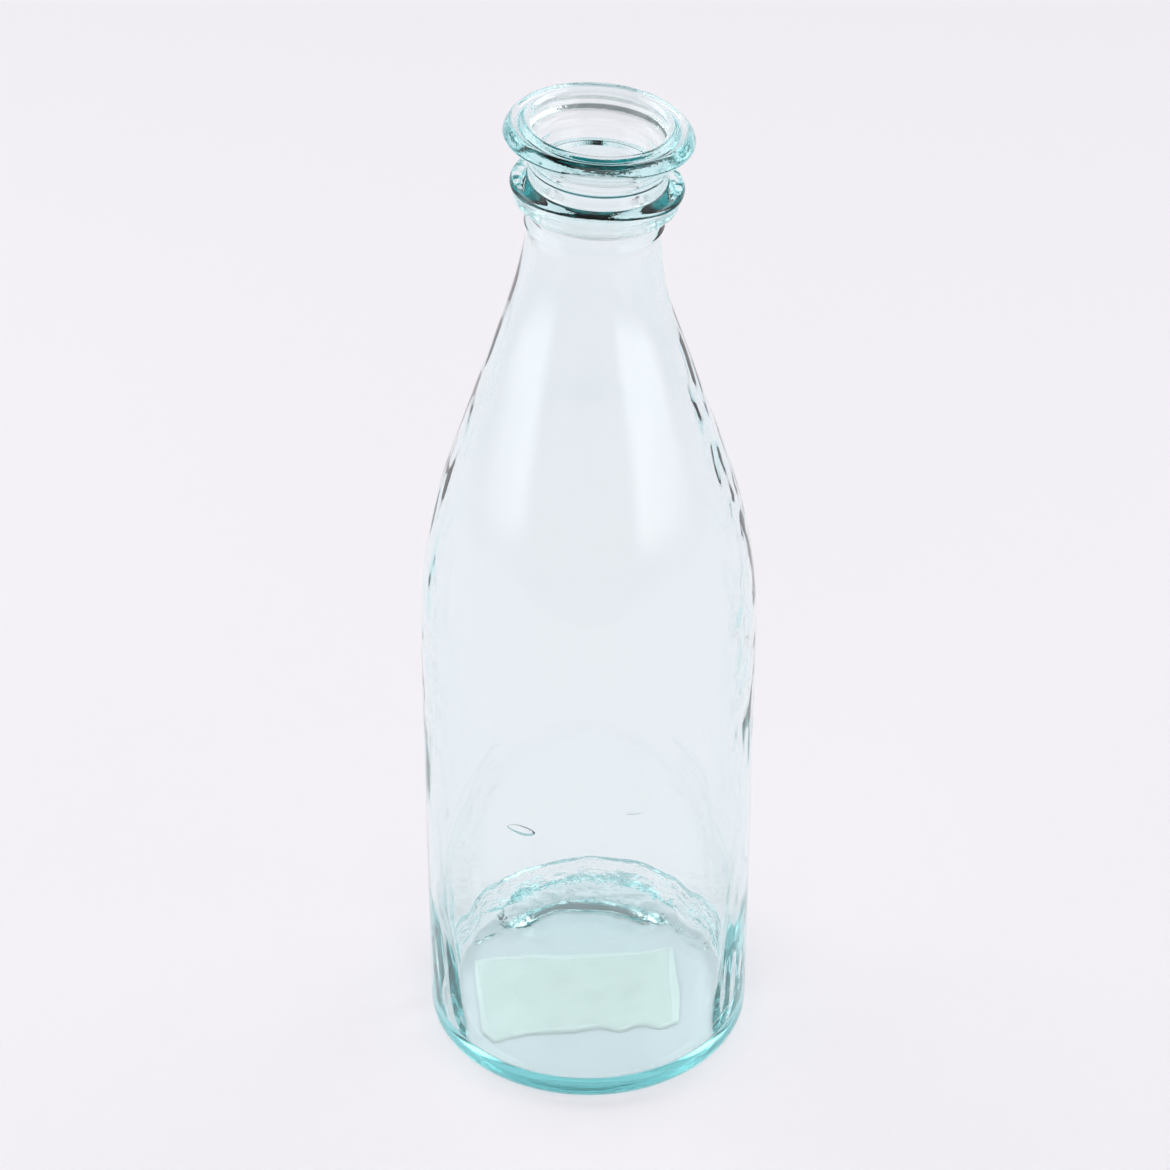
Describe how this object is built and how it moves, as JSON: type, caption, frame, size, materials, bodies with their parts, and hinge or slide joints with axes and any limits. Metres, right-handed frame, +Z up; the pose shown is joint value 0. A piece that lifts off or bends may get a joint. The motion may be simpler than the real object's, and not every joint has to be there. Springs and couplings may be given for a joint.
{
  "type": "decorative glass bottle",
  "caption": "Tall blown glass bottle with a straight round body, long sloping shoulder, ringed neck and flared lip, for display, flowers or pouring.",
  "frame": {"origin": "centre of the ring that the bottle stands on, on the ground plane", "axes": "+Z up along the bottle's axis, out of its mouth; -Y is the front, the side that the picture shows; +X to the right seen from the front"},
  "size_m": [0.1, 0.1, 0.3143],
  "materials": {
    "thin_glass": "clear, pale blue-green, slightly wavy",
    "thick_glass": "clear, teal where it is thick",
    "label_paper": "uncoated, blank, pale green-cream",
    "label_film": "thin clear film"
  },
  "bodies": {
    "root": {"bottle_body": "thin_glass", "neck_ring": "thick_glass", "lip_ring": "thick_glass", "base_label": "label_paper", "label_adhesive": "label_film"}
  },
  "joints": []
}
